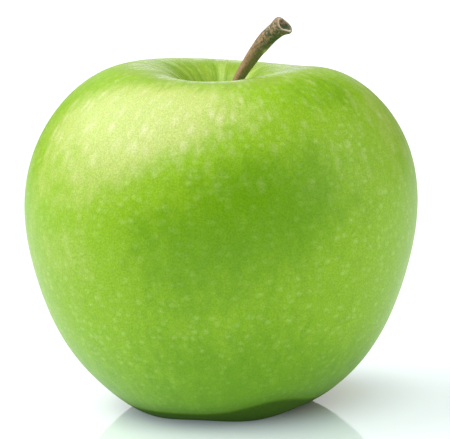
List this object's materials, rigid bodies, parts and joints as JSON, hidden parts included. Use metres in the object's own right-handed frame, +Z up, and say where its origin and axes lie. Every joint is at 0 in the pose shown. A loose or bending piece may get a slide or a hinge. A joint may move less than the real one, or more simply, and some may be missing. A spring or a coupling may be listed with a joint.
{
  "type": "whole green apple with stem",
  "caption": "Round green fruit, widest above its middle, with a leaning woody stem in a funnel-shaped hollow and a dried calyx in the basin underneath.",
  "frame": {"origin": "bottom centre of the model's box, where the fruit stands on the lobes round its blossom end", "axes": "+Z up along the fruit's core, towards the stem; +X towards the side that the stem leans to, to the right in the picture; -Y towards the picture's camera"},
  "size_m": [0.0806, 0.0806, 0.0802],
  "materials": {
    "skin": "waxy, thin and faintly translucent green skin with a soft gloss and pale pores",
    "bark": "dull brown-green woody stalk with a pale cut ring",
    "dried_sepal": "dull, dry and downy"
  },
  "bodies": {
    "root": {"fruit": "skin", "stem": "bark", "calyx": "dried_sepal"}
  },
  "joints": []
}
